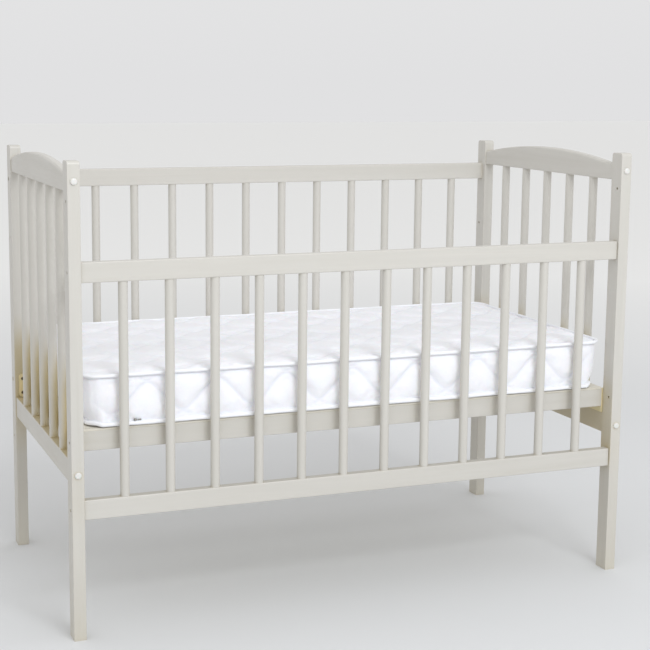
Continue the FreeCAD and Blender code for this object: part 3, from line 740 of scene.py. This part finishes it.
def piping(name, z, reach, radius, tucked):
    """Welt cord round the cover at height z; its line and girth wander a little."""
    outline, length = rounded_loop(HX + reach, HY + reach, CORNER + reach, 0.006)
    ring = 12
    bm = bmesh.new()
    rows = []
    for i, (point, out) in enumerate(outline):
        s = i * length / len(outline)
        drift = Vector((s * 7, z * 40, 0))
        centre = point + out * noise.noise(drift) * 0.0012 + Vector((MID.x, MID.y, z))
        centre.z += noise.noise(drift + Vector((0, 0, 5))) * 0.0012
        tuck(centre, tucked)
        girth = radius * (1 + 0.07 * noise.noise(Vector((s * 60, z, 3))))
        row = []
        for k in range(ring):
            angle = 2 * math.pi * k / ring
            rise = Vector((0, 0, girth * math.sin(angle)))
            row.append(bm.verts.new(centre + out * girth * math.cos(angle) + rise))
        rows.append(row)
    for i in range(len(rows)):
        here, there = rows[i], rows[(i + 1) % len(rows)]
        for k in range(ring):
            m = (k + 1) % ring
            bm.faces.new((here[k], there[k], there[m], here[m]))
    bmesh.ops.recalc_face_normals(bm, faces=bm.faces)
    mesh = bpy.data.meshes.new(name)
    bm.to_mesh(mesh)
    bm.free()
    return add_object(name, mesh, BINDING, "mattress")


cover = rounded_block("mattress_quilting", VOXEL)
inflate(cover, FRAMES)
refine(cover)
quilt(cover, SWELL)
cover.data.materials.append(QUILT)
for polygon in cover.data.polygons:
    polygon.use_smooth = True
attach(cover, "mattress")
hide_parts("mattress")

piping("mattress_piping_top", z=SEAM_HIGH + 0.004, reach=0.0045, radius=0.0037, tucked=0.0)
piping("mattress_piping_bottom", z=SEAM_LOW - 0.0045, reach=0.0022, radius=0.0046, tucked=1.0)


def zip_slider():
    """Slider of the cover's zip, on the gate side by the lower seam, with its short pull."""
    body = (0.006, 0.0045, 0.003, 0, 0)
    pull = (0.0085, 0.0028, 0.0016, 0.0085, -0.0004)
    place = (MID.x - 0.489, MAT_LOW.y + 0.0015, SEAM_LOW + 0.0025)
    bm = bmesh.new()
    for width, height, depth, x, z in (body, pull):
        block = bmesh.ops.create_cube(bm, size=1.0)["verts"]
        bmesh.ops.scale(bm, vec=(width, depth, height), verts=block)
        bmesh.ops.translate(bm, vec=(x, 0, z), verts=block)
    bmesh.ops.bevel(bm, geom=bm.edges[:], offset=0.0007, segments=2, affect="EDGES")
    bmesh.ops.translate(bm, vec=place, verts=bm.verts[:])
    mesh = bpy.data.meshes.new("zip_slider")
    bm.to_mesh(mesh)
    bm.free()
    add_object("mattress_zip_slider", mesh, SLOTS["zinc_steel"], "mattress")


zip_slider()


# --- Floor, light and camera -------------------------------------------------------------

def floor():
    """Flat floor far wider than any view of the crib."""
    bm = bmesh.new()
    bmesh.ops.create_grid(bm, x_segments=8, y_segments=8, size=30)
    mesh = bpy.data.meshes.new("floor")
    bm.to_mesh(mesh)
    bm.free()
    obj = bpy.data.objects.new("floor", mesh)
    bpy.context.scene.collection.objects.link(obj)
    mesh.materials.append(floor_material("pale_floor"))


def area_light(name, azimuth, elevation, distance, size, power, colour):
    """Soft panel aimed at the crib's middle; azimuth 0 is the gate side, 90 the right end."""
    data = bpy.data.lights.new(name, "AREA")
    data.shape = "RECTANGLE"
    data.size, data.size_y = size
    data.energy = power
    data.color = colour
    obj = bpy.data.objects.new(name, data)
    a, e = math.radians(azimuth), math.radians(elevation)
    way = Vector((math.sin(a) * math.cos(e), -math.cos(a) * math.cos(e), math.sin(e)))
    obj.location = Vector((0, 0, 0.5)) + way * distance
    obj.rotation_euler = (-way).to_track_quat("-Z", "Y").to_euler()
    bpy.context.scene.collection.objects.link(obj)


def world(horizon, zenith):
    """Soft surround, dimmer towards the horizon so that the floor runs into it without a line."""
    scene = bpy.context.scene
    scene.world = bpy.data.worlds.new("studio")
    scene.world.use_nodes = True
    tree = scene.world.node_tree
    height = tree.nodes.new("ShaderNodeSeparateXYZ")
    tree.links.new(tree.nodes.new("ShaderNodeTexCoord").outputs["Generated"], height.inputs[0])
    ramp = tree.nodes.new("ShaderNodeValToRGB")
    tree.links.new(height.outputs["Z"], ramp.inputs[0])
    ramp.color_ramp.elements[0].color = horizon
    ramp.color_ramp.elements[1].color = zenith
    ramp.color_ramp.elements[1].position = 0.25
    tree.links.new(ramp.outputs[0], tree.nodes["Background"].inputs[0])


def camera(place, yaw, pitch, roll, lens, shift):
    """Camera at a place in metres, turned by angles in degrees."""
    data = bpy.data.cameras.new("view")
    data.sensor_width = 36
    data.lens = lens
    data.shift_x, data.shift_y = shift
    data.clip_end = 100
    obj = bpy.data.objects.new("view", data)
    y, p = math.radians(yaw), math.radians(pitch)
    ahead = Vector((math.sin(y) * math.cos(p), math.cos(y) * math.cos(p), math.sin(p)))
    right = Vector((math.cos(y), -math.sin(y), 0))
    up = right.cross(ahead)
    c, s = math.cos(math.radians(roll)), math.sin(math.radians(roll))
    side = right * c + up * s
    top = up * c - right * s
    turn = Matrix((side, top, -ahead)).transposed()
    obj.matrix_world = Matrix.Translation(place) @ turn.to_4x4()
    bpy.context.scene.collection.objects.link(obj)
    bpy.context.scene.camera = obj


floor()
world(horizon=srgb(225, 225, 226), zenith=srgb(234, 234, 234))
area_light(
    "key",
    azimuth=4,
    elevation=31,
    distance=5.6,
    size=(2.3, 1.9),
    power=114,
    colour=(0.935, 0.965, 1.0),
)
area_light(
    "front_fill",
    azimuth=-20,
    elevation=48,
    distance=2.0,
    size=(1.6, 1.0),
    power=3.6,
    colour=(0.94, 0.965, 1.0),
)
bpy.context.scene.view_settings.view_transform = "Standard"
camera(
    Vector((-1.1809, -2.9761, 1.1074)),
    yaw=21.066,
    pitch=-8.629,
    roll=0.451,
    lens=78.59,
    shift=(0.0447, -0.0504),
)
